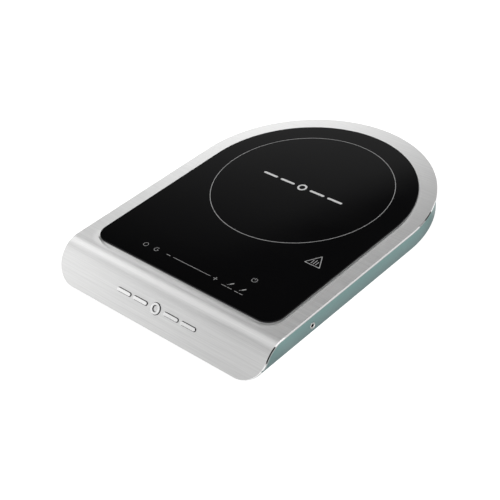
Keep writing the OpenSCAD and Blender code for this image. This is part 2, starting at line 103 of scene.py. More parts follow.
class Nodes:
    """Short hand for building one node material."""

    def __init__(self, name):
        self.m = bpy.data.materials.new(name)
        self.m.use_nodes = True
        self.t = self.m.node_tree
        self.p = next(n for n in self.t.nodes if n.type == "BSDF_PRINCIPLED")
        self.c = self.t.nodes.new("ShaderNodeTexCoord")

    def link(self, a, b):
        self.t.links.new(a, b)

    def mapped(self, scale, rot=(0, 0, 0), loc=(0, 0, 0)):
        n = self.t.nodes.new("ShaderNodeMapping")
        n.inputs["Scale"].default_value = scale
        n.inputs["Rotation"].default_value = rot
        n.inputs["Location"].default_value = loc
        self.link(self.c.outputs["Object"], n.inputs["Vector"])
        return n.outputs["Vector"]

    def noise(self, scale, detail=3.0, rough=0.55, vec=None, distortion=0.0):
        n = self.t.nodes.new("ShaderNodeTexNoise")
        n.inputs["Scale"].default_value = scale
        n.inputs["Detail"].default_value = detail
        n.inputs["Roughness"].default_value = rough
        n.inputs["Distortion"].default_value = distortion
        self.link(vec if vec is not None else self.c.outputs["Object"], n.inputs["Vector"])
        return n.outputs["Fac"]

    def voronoi(self, scale, vec=None, feature="F1"):
        n = self.t.nodes.new("ShaderNodeTexVoronoi")
        n.feature = feature
        n.inputs["Scale"].default_value = scale
        self.link(vec if vec is not None else self.c.outputs["Object"], n.inputs["Vector"])
        return n.outputs["Distance"]

    def wave(self, scale, vec=None, direction="X", distortion=0.0, detail=1.0, profile="SIN"):
        n = self.t.nodes.new("ShaderNodeTexWave")
        n.wave_type = "BANDS"
        n.bands_direction = direction
        n.wave_profile = profile
        n.inputs["Scale"].default_value = scale
        n.inputs["Distortion"].default_value = distortion
        n.inputs["Detail"].default_value = detail
        self.link(vec if vec is not None else self.c.outputs["Object"], n.inputs["Vector"])
        return n.outputs["Fac"]

    def math(self, op, a, b=0.5, clamp=False):
        n = self.t.nodes.new("ShaderNodeMath")
        n.operation = op
        n.use_clamp = clamp
        for i, v in enumerate((a, b)):
            if isinstance(v, (int, float)):
                n.inputs[i].default_value = v
            else:
                self.link(v, n.inputs[i])
        return n.outputs[0]

    def rng(self, fac, lo, hi, a=0.0, b=1.0):
        n = self.t.nodes.new("ShaderNodeMapRange")
        n.inputs["From Min"].default_value = a
        n.inputs["From Max"].default_value = b
        n.inputs["To Min"].default_value = lo
        n.inputs["To Max"].default_value = hi
        self.link(fac, n.inputs["Value"])
        return n.outputs["Result"]

    def ramp(self, fac, stops, interp="LINEAR"):
        n = self.t.nodes.new("ShaderNodeValToRGB")
        n.color_ramp.interpolation = interp
        els = n.color_ramp.elements
        while len(els) < len(stops):
            els.new(0.5)
        for e, (p, col) in zip(els, stops):
            e.position = p
            e.color = (*col, 1.0)
        self.link(fac, n.inputs["Fac"])
        return n.outputs["Color"]

    def mix(self, fac, a, b, kind="MIX"):
        n = self.t.nodes.new("ShaderNodeMix")
        n.data_type = "RGBA"
        n.blend_type = kind
        if isinstance(fac, (int, float)):
            n.inputs[0].default_value = fac
        else:
            self.link(fac, n.inputs[0])
        for i, v in ((6, a), (7, b)):
            if isinstance(v, tuple):
                n.inputs[i].default_value = (*v, 1.0)
            else:
                self.link(v, n.inputs[i])
        return n.outputs[2]

    def bump(self, height, strength, distance, normal=None):
        n = self.t.nodes.new("ShaderNodeBump")
        n.inputs["Strength"].default_value = strength
        n.inputs["Distance"].default_value = distance
        self.link(height, n.inputs["Height"])
        if normal is not None:
            self.link(normal, n.inputs["Normal"])
        return n.outputs["Normal"]

    def set(self, **kw):
        for k, v in kw.items():
            sock = self.p.inputs[k.replace("_", " ")]
            if isinstance(v, tuple):
                sock.default_value = (*v, 1.0) if len(v) == 3 and sock.type == "RGBA" else v
            elif isinstance(v, (int, float)):
                sock.default_value = v
            else:
                self.link(v, sock)
        return self

    def tangent(self, axis="X"):
        n = self.t.nodes.new("ShaderNodeTangent")
        n.direction_type = "RADIAL"
        n.axis = axis
        self.link(n.outputs["Tangent"], self.p.inputs["Tangent"])


def steel_material(name, tone=0.742, rough=(0.27, 0.36), polish=False, painted_rim_highlight=False):
    """Steel brushed across the width: long fine lines along X. With the rim flag the steel gets a painted highlight
    beside the glass: a lighter, part-diffuse band that makes up for the shade the raised glass casts in its
    reflections.
    """
    n = Nodes(name)
    fine = n.noise(1.0, 2.0, 0.6, n.mapped((16.0, 900.0, 900.0)))
    mid = n.noise(1.0, 2.0, 0.5, n.mapped((5.0, 420.0, 420.0), loc=(3.1, 0.7, 0.2)))
    cloud = n.noise(9.0, 3.0, 0.5)
    lines = n.math("ADD", n.math("MULTIPLY", fine, 0.68), n.math("MULTIPLY", mid, 0.32))
    shade = n.math("ADD", n.math("MULTIPLY", lines, 0.8), n.math("MULTIPLY", cloud, 0.2))
    lo = tuple(tone * k for k in (0.90, 0.90, 0.898))
    hi = tuple(min(1.0, tone * k) for k in (1.09, 1.09, 1.085))
    colour = n.ramp(shade, [(0.30, lo), (0.70, hi)])
    metal = 1.0
    if painted_rim_highlight:
        r = (G_CR + 0.6) * MM
        sep = n.t.nodes.new("ShaderNodeSeparateXYZ")
        n.link(n.c.outputs["Object"], sep.inputs[0])
        px = n.math("MAXIMUM", sep.outputs["X"], n.math("MULTIPLY", sep.outputs["X"], -1.0))
        py = n.math("MAXIMUM", n.math("SUBTRACT", sep.outputs["Y"], G_CY * MM), 0.0)
        wide = n.math("SQRT", n.math("ADD", n.math("MULTIPLY", px, px), n.math("MULTIPLY", py, py)))
        qx = n.math("MAXIMUM", n.math("SUBTRACT", wide, (G_HW + 0.6) * MM - r), 0.0)
        qy = n.math("MAXIMUM", n.math("SUBTRACT", (G_FY - 0.6) * MM + r, sep.outputs["Y"]), 0.0)
        away = n.math("SUBTRACT", n.math("SQRT", n.math("ADD", n.math("MULTIPLY", qx, qx), n.math("MULTIPLY", qy, qy))), r)
        side = n.math("MULTIPLY", n.rng(away, 1.0, 0.0, 0.0006, 0.0034), n.rng(py, 1.0, 0.0, 0.0, 0.07))
        side = n.math("MULTIPLY", side, n.rng(sep.outputs["X"], 0.0, 1.0, -0.01, 0.01))
        turn = n.math("SUBTRACT", n.math("SUBTRACT", qy, qx), n.rng(sep.outputs["X"], -0.010, 0.0, -0.05, 0.05))
        front = n.rng(away, 1.0, 0.0, 0.0006, 0.0085)
        rim_highlight_mask = n.math("ADD", side, n.math("MULTIPLY", n.math("SUBTRACT", front, side),
                                          n.rng(turn, 0.0, 1.0, -0.008, 0.008)))
        # painted highlight: the base colour is lighter beside the glass's front and right edges, fading out over a few
        # millimetres
        colour = n.mix(n.math("MULTIPLY", rim_highlight_mask, n.rng(away, 0.0, 1.0, -0.0016, -0.0006)), colour,
                       n.ramp(shade, [(0.30, (0.93, 0.93, 0.925)), (0.70, (1.0, 1.0, 0.995))]))
        # painted highlight: in front of the glass the band is made part diffuse so that it reads lighter, more so
        # towards the left
        diffuse_highlight = n.math("MULTIPLY", n.rng(away, 0.90, 0.0, 0.0004, 0.0052), n.rng(sep.outputs["X"], 1.0, 0.09, -0.11, 0.06))
        diffuse_highlight = n.math("MULTIPLY", diffuse_highlight, n.rng(turn, 0.0, 1.0, -0.002, 0.012))
        metal = n.math("SUBTRACT", 1.0, n.math("MULTIPLY", diffuse_highlight, n.rng(away, 0.0, 1.0, -0.0016, -0.0006)))
    n.set(Base_Color=colour, Metallic=metal, Roughness=n.rng(shade, rough[0], rough[1], 0.3, 0.7),
          Anisotropic=0.3 if polish else 0.72)
    n.set(Normal=n.bump(lines, 0.10 if polish else 0.17, 0.00006))
    n.tangent("X")
    return n.m


def glass_material(name):
    n = Nodes(name)
    speck = n.noise(2600.0, 2.0, 0.5)
    haze = n.noise(7.0, 4.0, 0.6)
    wipe = n.noise(1.0, 3.0, 0.55, n.mapped((11.0, 30.0, 11.0), rot=(0, 0, 0.5)))
    n.set(Base_Color=n.ramp(n.math("ADD", n.math("MULTIPLY", speck, 0.5), n.math("MULTIPLY", haze, 0.5)),
                            [(0.3, (0.0030, 0.0030, 0.0033)), (0.75, (0.0046, 0.0046, 0.0050))]),
          Roughness=n.rng(wipe, 0.05, 0.10, 0.3, 0.7), IOR=1.5)
    n.set(Normal=n.bump(haze, 0.03, 0.00015))
    n.p.inputs["Specular IOR Level"].default_value = 0.0265
    return n.m


def ground_glass_material(name):
    """The ground bevel of the glass."""
    n = Nodes(name)
    grain = n.noise(1.0, 2.0, 0.6, n.mapped((900.0, 900.0, 2400.0)))
    n.set(Base_Color=n.ramp(grain, [(0.3, (0.013, 0.013, 0.014)), (0.7, (0.022, 0.022, 0.023))]),
          Roughness=n.rng(grain, 0.34, 0.46, 0.3, 0.7))
    n.set(Normal=n.bump(grain, 0.15, 0.00004))
    n.p.inputs["Specular IOR Level"].default_value = 0.10
    return n.m


def paint_material(name, a, b, rough=(0.34, 0.46), peel=1.0):
    """Satin powder paint with fine orange peel, with painted shade that darkens it towards the bottom."""
    n = Nodes(name)
    cloud = n.noise(14.0, 4.0, 0.55)
    fine = n.noise(1100.0, 3.0, 0.55)
    peel_h = n.noise(520.0, 1.0, 0.4)
    shade = n.math("ADD", n.math("MULTIPLY", cloud, 0.55), n.math("MULTIPLY", fine, 0.45))
    sep = n.t.nodes.new("ShaderNodeSeparateXYZ")
    n.link(n.c.outputs["Object"], sep.inputs[0])
    # painted shade: the paint is darker and less saturated towards the bottom of the housing (z 28.5 to 44.5 mm),
    # standing in for contact shadow
    painted_shade_low = [(c[0] * 0.96, c[1] * 0.80, c[2] * 0.825) for c in (a, b)]
    colour = n.mix(n.rng(sep.outputs["Z"], 0.0, 1.0, 0.0285, 0.0445), n.ramp(shade, [(0.3, painted_shade_low[0]), (0.7, painted_shade_low[1])]),
                   n.ramp(shade, [(0.3, a), (0.7, b)]))
    n.set(Base_Color=colour, Roughness=n.rng(fine, rough[0], rough[1], 0.3, 0.7))
    n.set(Normal=n.bump(peel_h, 0.12 * peel, 0.0002))
    n.p.inputs["Specular IOR Level"].default_value = 0.35
    return n.m


def moulded_material(name, a, b, rough=(0.42, 0.58), grain=900.0, bump=0.25, spec=0.4):
    """Moulded plastic or rubber with a spark-eroded texture."""
    n = Nodes(name)
    cells = n.voronoi(grain)
    fine = n.noise(grain * 0.7, 3.0, 0.6)
    cloud = n.noise(18.0, 3.0, 0.5)
    shade = n.math("ADD", n.math("MULTIPLY", fine, 0.5), n.math("MULTIPLY", cloud, 0.5))
    n.set(Base_Color=n.ramp(shade, [(0.3, a), (0.7, b)]), Roughness=n.rng(fine, rough[0], rough[1], 0.3, 0.7))
    n.set(Normal=n.bump(n.math("ADD", cells, fine), bump, 0.00008))
    n.p.inputs["Specular IOR Level"].default_value = spec
    return n.m


def metal_material(name, a, b, rough=(0.22, 0.38), lines=(700.0, 700.0, 90.0), bump=0.15, aniso=0.0):
    n = Nodes(name)
    turn = n.noise(1.0, 3.0, 0.6, n.mapped(lines))
    cloud = n.noise(60.0, 3.0, 0.6)
    shade = n.math("ADD", n.math("MULTIPLY", turn, 0.6), n.math("MULTIPLY", cloud, 0.4))
    n.set(Base_Color=n.ramp(shade, [(0.3, a), (0.7, b)]), Metallic=1.0,
          Roughness=n.rng(shade, rough[0], rough[1], 0.3, 0.7), Anisotropic=aniso)
    n.set(Normal=n.bump(turn, bump, 0.00004))
    return n.m


def print_material(name, a, b):
    """Screen-printed enamel on the glass."""
    n = Nodes(name)
    dots = n.voronoi(2600.0)
    fine = n.noise(1800.0, 2.0, 0.5)
    n.set(Base_Color=n.ramp(fine, [(0.3, a), (0.7, b)]), Roughness=n.rng(fine, 0.40, 0.55, 0.3, 0.7))
    n.set(Normal=n.bump(dots, 0.10, 0.00002))
    n.p.inputs["Specular IOR Level"].default_value = 0.2
    return n.m


def board_material(name):
    """Solder mask with faint tracks under it."""
    n = Nodes(name)
    tracks = n.wave(160.0, None, "DIAGONAL", 6.0, 2.0)
    blocks = n.voronoi(140.0)
    fine = n.noise(900.0, 3.0, 0.5)
    a = n.ramp(tracks, [(0.42, (0.012, 0.10, 0.040)), (0.52, (0.022, 0.17, 0.070))], "LINEAR")
    b = n.ramp(blocks, [(0.25, (0.55, 0.50, 0.40)), (0.27, (0.014, 0.12, 0.048))])
    n.set(Base_Color=n.mix(0.22, a, b), Roughness=n.rng(fine, 0.28, 0.42, 0.3, 0.7))
    n.set(Normal=n.bump(tracks, 0.15, 0.00005))
    return n.m


def cloth_material(name, a, b, grain=420.0):
    n = Nodes(name)
    fibres = n.noise(1.0, 4.0, 0.7, n.mapped((grain, grain * 2.4, grain)), 1.5)
    cloud = n.noise(40.0, 4.0, 0.6)
    shade = n.math("ADD", n.math("MULTIPLY", fibres, 0.6), n.math("MULTIPLY", cloud, 0.4))
    n.set(Base_Color=n.ramp(shade, [(0.3, a), (0.7, b)]), Roughness=n.rng(fibres, 0.8, 0.95, 0.3, 0.7))
    n.set(Normal=n.bump(fibres, 0.5, 0.0003))
    return n.m


def strand_material(name, a, b):
    """Varnished litz wire: fine strands round the coil's centre."""
    n = Nodes(name)
    strand = n.noise(1.0, 2.0, 0.5, n.mapped((900.0, 900.0, 500.0)))
    cloud = n.noise(70.0, 3.0, 0.6)
    shade = n.math("ADD", n.math("MULTIPLY", strand, 0.7), n.math("MULTIPLY", cloud, 0.3))
    n.set(Base_Color=n.ramp(shade, [(0.3, a), (0.7, b)]), Metallic=0.7,
          Roughness=n.rng(strand, 0.25, 0.45, 0.3, 0.7))
    n.set(Normal=n.bump(strand, 0.5, 0.0002))
    return n.m


MAT = {
    "brushed_steel": steel_material("brushed_steel", painted_rim_highlight=True),
    "polished_steel": steel_material("polished_steel", 0.93, (0.14, 0.22), True),
    "edge_steel": steel_material("edge_steel", 0.87, (0.05, 0.09), True),
    # painted shade: darker steel for the sheet edge round the bend
    "bend_edge_painted_shade": steel_material("bend_edge_painted_shade", 0.40, (0.05, 0.09), True),
    "arris_steel": moulded_material("arris_steel", (0.38, 0.42, 0.42), (0.44, 0.48, 0.48), (0.30, 0.42), 1500.0, 0.1),
    "black_glass": glass_material("black_glass"),
    "ground_glass": ground_glass_material("ground_glass"),
    "sealant": moulded_material("sealant", (0.48, 0.48, 0.48), (0.56, 0.56, 0.56), (0.35, 0.5), 1500.0, 0.1),
    "black_plastic": moulded_material("black_plastic", (0.020, 0.020, 0.022), (0.034, 0.034, 0.037)),
    "fan_plastic": moulded_material("fan_plastic", (0.050, 0.052, 0.056), (0.074, 0.076, 0.081), (0.30, 0.42)),
    "sage_paint": paint_material("sage_paint", (0.194, 0.342, 0.331), (0.226, 0.378, 0.366)),
    "zinc": metal_material("zinc", (0.50, 0.51, 0.52), (0.70, 0.70, 0.69)),
    "rubber": moulded_material("rubber", (0.012, 0.012, 0.012), (0.026, 0.026, 0.026), (0.6, 0.8), 700.0, 0.3, 0.25),
    "nickel": metal_material("nickel", (0.80, 0.79, 0.77), (0.94, 0.93, 0.91), (0.14, 0.24), (120.0, 1600.0, 1600.0), 0.1),
    "cream_plastic": moulded_material("cream_plastic", (0.60, 0.55, 0.43), (0.72, 0.67, 0.54), (0.35, 0.5)),
    "lead_insulation": moulded_material("lead_insulation", (0.22, 0.10, 0.055), (0.33, 0.15, 0.085), (0.35, 0.5)),
    "fibre_mat": cloth_material("fibre_mat", (0.66, 0.63, 0.56), (0.86, 0.83, 0.76)),
    "mica": cloth_material("mica", (0.36, 0.29, 0.20), (0.55, 0.46, 0.33), 150.0),
    "litz_copper": strand_material("litz_copper", (0.42, 0.17, 0.075), (0.78, 0.42, 0.22)),
    "ferrite": moulded_material("ferrite", (0.05, 0.047, 0.05), (0.085, 0.08, 0.083), (0.6, 0.75), 1300.0, 0.4),
    "aluminium": metal_material("aluminium", (0.66, 0.67, 0.68), (0.82, 0.83, 0.84), (0.25, 0.4), (60.0, 1500.0, 900.0)),
    "silicone": moulded_material("silicone", (0.40, 0.085, 0.045), (0.56, 0.15, 0.08), (0.4, 0.55), 1200.0, 0.15),
    "white_ceramic": moulded_material("white_ceramic", (0.66, 0.65, 0.61), (0.80, 0.79, 0.75), (0.5, 0.65), 1300.0, 0.25),
    "circuit_board": board_material("circuit_board"),
    "black_epoxy": moulded_material("black_epoxy", (0.020, 0.020, 0.020), (0.040, 0.040, 0.040), (0.45, 0.6), 1600.0),
    "blue_plastic": moulded_material("blue_plastic", (0.035, 0.10, 0.27), (0.06, 0.15, 0.38), (0.25, 0.38), 900.0, 0.1),
    "clear_plastic": moulded_material("clear_plastic", (0.74, 0.74, 0.71), (0.88, 0.88, 0.85), (0.25, 0.4), 900.0, 0.1),
    "ribbon": moulded_material("ribbon", (0.42, 0.42, 0.44), (0.60, 0.60, 0.62), (0.4, 0.55), 500.0, 0.3),
    "grey_print": print_material("grey_print", (0.40, 0.40, 0.40), (0.52, 0.52, 0.52)),
    "white_print": print_material("white_print", (0.72, 0.72, 0.72), (0.84, 0.84, 0.84)),
    "painted_shade_seat": moulded_material("painted_shade_seat", (0.018, 0.018, 0.019), (0.034, 0.034, 0.035), (0.45, 0.6), 1400.0, 0.2, 0.2),
    "dark_bore": moulded_material("dark_bore", (0.004, 0.004, 0.004), (0.010, 0.010, 0.010), (0.6, 0.8), 900.0, 0.2, 0.1),
}


# ------------------------------------------------------------ mesh helpers

def make_piece(name, verts, faces, mats, face_mat=None, body="base", angle=30.0, weighted=True):
    """A mesh piece from points in millimetres."""
    me = bpy.data.meshes.new(name)
    me.from_pydata([(x * MM, y * MM, z * MM) for x, y, z in verts], [], faces)
    me.validate()
    for m in mats:
        me.materials.append(MAT[m])
    if face_mat:
        me.polygons.foreach_set("material_index", face_mat)
    me.shade_smooth()
    me.set_sharp_from_angle(angle=math.radians(angle))
    ob = bpy.data.objects.new(name, me)
    scene.collection.objects.link(ob)
    if weighted:
        w = ob.modifiers.new("weighted", "WEIGHTED_NORMAL")
        w.keep_sharp = True
        w.weight = 100
    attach(ob, body)
    return ob


class Build:
    """Collects vertices and faces."""

    def __init__(self):
        self.v, self.f, self.m = [], [], []

    def loop(self, pts):
        start = len(self.v)
        self.v.extend(pts)
        return list(range(start, start + len(pts)))

    def bridge(self, a, b, mat=0, closed=True):
        n = len(a)
        for i in range(n if closed else n - 1):
            j = (i + 1) % n
            self.f.append((a[i], a[j], b[j], b[i]))
            self.m.append(mat)

    def face(self, idx, mat=0):
        self.f.append(tuple(idx))
        self.m.append(mat)

    def lathe(self, profile, to_world, seg=64, mat=0, mats=None, closed=False):
        """profile: (radius, height) points; radius 0 makes a pole. closed joins the last row to the first."""
        rows = []
        for r, h in profile:
            if r <= 1e-9:
                rows.append(self.loop([to_world(0.0, 0.0, h)]))
            else:
                rows.append(self.loop([to_world(r * math.cos(2 * math.pi * k / seg),
                                                r * math.sin(2 * math.pi * k / seg), h) for k in range(seg)]))
        pairs = list(zip(rows, rows[1:]))
        if closed:
            pairs.append((rows[-1], rows[0]))
        for i, (a, b) in enumerate(pairs):
            mm = mats[i] if mats else mat
            if len(a) == 1 and len(b) == 1:
                continue
            if len(a) == 1:
                for k in range(seg):
                    self.face((a[0], b[(k + 1) % seg], b[k]), mm)
            elif len(b) == 1:
                for k in range(seg):
                    self.face((a[k], a[(k + 1) % seg], b[0]), mm)
            else:
                self.bridge(a, b, mm)


def arc_pts(cx, cy, r, a0, a1, n):
    return [(cx + r * math.cos(math.radians(a0 + (a1 - a0) * i / n)),
             cy + r * math.sin(math.radians(a0 + (a1 - a0) * i / n))) for i in range(n + 1)]


def d_loop(hw, cy, fy, fr, inset=0.0, n_arc=96, n_side=16, n_front=16, n_corner=16):
    """D outline, counter-clockwise from the right end of the rear arc. inset moves it inwards."""
    hw, fy, fr = hw - inset, fy + inset, max(fr - inset, 0.02)
    pts = arc_pts(0, cy, hw, 0, 180, n_arc)
    for i in range(1, n_side):
        pts.append((-hw, cy + (fy + fr - cy) * i / n_side))
    pts += arc_pts(-hw + fr, fy + fr, fr, 180, 270, n_corner)
    for i in range(1, n_front):
        pts.append((-hw + fr + (2 * hw - 2 * fr) * i / n_front, fy))
    pts += arc_pts(hw - fr, fy + fr, fr, 270, 360, n_corner)
    for i in range(1, n_side):
        pts.append((hw, fy + fr + (cy - fy - fr) * i / n_side))
    return pts


def round_profile(r, n, a0=90.0, a1=0.0):
    """Quarter round as (inset, drop) from the top face (a0 = 90) to the side (a1 = 0)."""
    out = []
    for i in range(n + 1):
        a = math.radians(a0 + (a1 - a0) * i / n)
        out.append((r - r * math.cos(a), r - r * math.sin(a)))
    return out


# ------------------------------------------------------------- steel top

def unfold(x, v, h):
    """Point of the bent sheet: v is the distance in front of the bend line, h the height over its top face."""
    if v <= 0:
        return (x, BEND_Y - v, PLATE_Z + h)
    a = min(v / BEND_R, SLOPE)
    r = BEND_R + h
    d = max(v - S1, 0.0)
    return (x, BEND_Y - r * math.sin(a) - d * math.cos(SLOPE), BEND_CZ + r * math.cos(a) - d * math.sin(SLOPE))


V_ARC = BEND_Y - ARC_Y          # the rear arc's centre, behind the bend line
V_END = S1 + PANEL_LEN          # the panel's lower edge
N_ARC, N_SIDE, N_BEND, N_CORNER = 128, 24, 26, 22
N_FRONT = 24 + 2 * 12           # the panel's lower edge has as many parts as the opening's front


def steel_outline(inset):
    """Outline of the flat sheet, as (x, v), from the right end of the bend line round the back, down the left side
    and along the panel's lower edge."""
    hw = HW - inset
    out = []
    for i in range(N_SIDE):                                   # right side, towards the back
        out.append((hw, V_ARC * i / N_SIDE))
    for i in range(N_ARC + 1):
        a = math.pi * i / N_ARC
        out.append((hw * math.cos(a), V_ARC - hw * math.sin(a)))
    for i in range(N_SIDE - 1, -1, -1):                       # left side, towards the front
        out.append((-hw, V_ARC * i / N_SIDE))
    left = []
    flat_end = V_END - PANEL_R
    for i in range(1, N_BEND + 1):
        left.append((-hw, flat_end * i / N_BEND))
    r = PANEL_R - inset
    for i in range(1, N_CORNER + 1):
        a = math.pi / 2 * i / N_CORNER
        left.append((-(HW - PANEL_R) - r * math.cos(a), V_END - PANEL_R + r * math.sin(a)))
    out += left
    for i in range(1, N_FRONT):
        w = HW - PANEL_R
        out.append((-w + 2 * w * i / N_FRONT, V_END - inset))
    out += [(-x, v) for x, v in reversed(left)]
    return out


def steel_top():
    b = Build()
    er, eb = 0.16, 0.25
    lip = SHEET + 0.8                                         # the edge is turned down a little over the housing
    prof = [(er + 0.8, 0.0)] + [(i, -d) for i, d in round_profile(er, 6)]
    prof += [(0.0, -2.4), (0.0, -(lip - eb))] + [(i, -lip + eb - d) for i, d in [(eb * (1 - math.cos(a)), eb * math.sin(a))
             for a in (math.radians(k) for k in (30, 60, 90))]] + [(1.0, -lip), (1.15, -lip + 0.15), (1.2, -SHEET), (1.9, -SHEET)]
    # 0 brushed face, 1 polished side, 2 satin lip
    zone = [0, 0, 0, 0, 1, 1, 1, 1] + [2, 2, 2, 2, 0, 0, 0, 0]
    rows = []
    for inset, h in prof:
        deep = 0.0                                            # the lip is a little deeper along the bend and the panel
        if inset < 1.19 and h < -1.0:
            deep = 0.0 if h > -2.45 else 0.8
        rows.append(b.loop([unfold(x, v, h - deep * min(max((v - 1.0) / 9.0, 0.0), 1.0)) for x, v in steel_outline(inset)]))
    vs = [v for _, v in steel_outline(0.0)]
    for k, (a, c) in enumerate(zip(rows, rows[1:])):
        b.bridge(c, a, zone[k])
        if zone[k] == 1:                                      # painted shade: round the bend the edge gets a darker steel that stands in for the dark reflection there
            for j in range(len(a)):
                if BEND_R * math.radians(21) < vs[j] < V_END - PANEL_R + 1.5:
                    b.m[j - len(a)] = 4
    # opening for the glass
    ir = 0.12
    oprof = [(-(ir + 0.8), 0.0)] + [(-i, -d) for i, d in round_profile(ir, 5)] + [(0.0, -SHEET + 0.2), (-0.2, -SHEET), (-1.0, -SHEET)]
    n_corner, n_front = 12, 24
    orow = []
    for inset, h in oprof:
        pts = d_loop(G_HW + 0.6, G_CY, G_FY - 0.6, G_CR + 0.6, inset, N_ARC, N_SIDE, n_front, n_corner)
        orow.append(b.loop([(x, y, PLATE_Z + h) for x, y in pts]))
    for k, (a, c) in enumerate(zip(orow, orow[1:])):
        b.bridge(a, c, 3 if 1 <= k <= 5 else 0)
    for outer, inner, flip in ((rows[0], orow[0], False), (rows[-1], orow[-1], True)):
        o, i = outer, inner
        # indices: o = right side (N_SIDE), arc, left side, left front, panel edge, right front
        arc0 = N_SIDE
        side_r = o[:arc0]
        arc = o[arc0:arc0 + N_ARC + 1]
        side_l = o[arc0 + N_ARC + 1:arc0 + N_ARC + 1 + N_SIDE]
        n_left = N_BEND + N_CORNER
        k = arc0 + N_ARC + 1 + N_SIDE
        left = o[k:k + n_left]
        edge = o[k + n_left:k + n_left + N_FRONT - 1]
        right = o[k + n_left + N_FRONT - 1:][::-1]
        i_arc = i[:N_ARC + 1]
        i_side_l = i[N_ARC + 1:N_ARC + 1 + N_SIDE - 1]
        i_c1 = i[N_ARC + N_SIDE:N_ARC + N_SIDE + n_corner + 1]
        q = N_ARC + N_SIDE + n_corner + 1
        i_front = i[q:q + n_front - 1]
        i_c2 = i[q + n_front - 1:q + n_front - 1 + n_corner + 1]
        i_side_r = i[q + n_front + n_corner:]
        quads, tris = [], []

        def strip(pa, pb):
            for s in range(len(pa) - 1):
                quads.append((pa[s], pa[s + 1], pb[s + 1], pb[s]))

        strip(arc, i_arc)
        # left side: arc end, then the side points down to the bend line
        o_l = [arc[-1]] + side_l
        i_l = [i_arc[-1]] + i_side_l + [i_c1[0]]
        strip(o_l, i_l)
        o_r = [arc[0]] + side_r[::-1]
        i_r = [i_arc[0]] + i_side_r[::-1] + [i_c2[-1]]
        strip(i_r, o_r)
        # front: bend line from left to right against corner, front edge, corner
        chain = i_c1 + i_front + i_c2
        hw_here = abs(b.v[side_l[-1]][0])
        h_here = b.v[side_l[-1]][2]
        n = len(chain) - 1
        bend = [side_l[-1]]
        for s in range(1, n):
            bx = -hw_here + 2 * hw_here * s / n
            bend.append(b.loop([(bx, BEND_Y, h_here)])[0])
        bend.append(side_r[0])
        strip(bend, chain)
        # bend and panel: rows of equal x division
        cols = n
        prev = bend
        for s in range(n_left):
            la, ra = b.v[left[s]], b.v[right[s]]
            row = [left[s]]
            if s == n_left - 1:
                # the lower edge has its own points
                seq = [left[s]] + edge + [right[s]]
                m = len(seq) - 1
                if m == cols:
                    row = seq
                else:
                    raise RuntimeError("edge points %d, columns %d" % (m, cols))
            else:
                for c in range(1, cols):
                    t = c / cols
                    row.append(b.loop([tuple(la[k] + (ra[k] - la[k]) * t for k in range(3))])[0])
                row.append(right[s])
            strip(row, prev)
            prev = row
        for qd in quads:
            b.face(qd[::-1] if flip else qd)
    return b


def make_steel():
    b = steel_top()
    # weld studs under the sheet
    studs = [(sx * (HW - 7.5), y) for sx in (1, -1) for y in (-118, -34)]
    studs += [((HW - 7.5) * math.cos(math.radians(a)), ARC_Y + (HW - 7.5) * math.sin(math.radians(a)))
              for a in (14, 62, 118, 166)]
    top = PLATE_Z - SHEET
    ob = make_piece("steel_top", b.v, b.f, ["brushed_steel", "edge_steel", "arris_steel", "polished_steel", "bend_edge_painted_shade"], b.m)
    s = Build()
    for x, y in studs:
        prof = [(0, top - 8.5), (1.1, top - 8.5), (1.5, top - 8.1)]
        z = top - 8.0
        while z < top - 1.2:                                   # rolled thread
            prof += [(1.5, z), (1.28, z + 0.2), (1.5, z + 0.4)]
            z += 0.55
        prof += [(1.5, top - 0.6), (1.9, top - 0.25), (1.9, top + 0.4), (0, top + 0.4)]
        s.lathe(prof, lambda u, w, h, x=x, y=y: (x + u, y + w, h), 20)
    studs_ob = make_piece("weld_studs", s.v, s.f, ["zinc"])
    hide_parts("top_plate")
    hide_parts("top_plate")
    return ob


make_steel()


# ------------------------------------------------------ motif on the panel

def on_panel(x, t, h):
    """Point at x across, t up the slope from the motif's middle, h above the panel."""
    return unfold(x, S1 + 7.0 - t, h)


def stadium(cx, half, r, inset, n=14):
    r2 = r - inset
    pts = [(cx + half + r2 * math.cos(math.radians(-90 + 180 * k / n)), r2 * math.sin(math.radians(-90 + 180 * k / n)))
           for k in range(n + 1)]
    pts += [(cx - half + r2 * math.cos(math.radians(90 + 180 * k / n)), r2 * math.sin(math.radians(90 + 180 * k / n)))
            for k in range(n + 1)]
    return pts


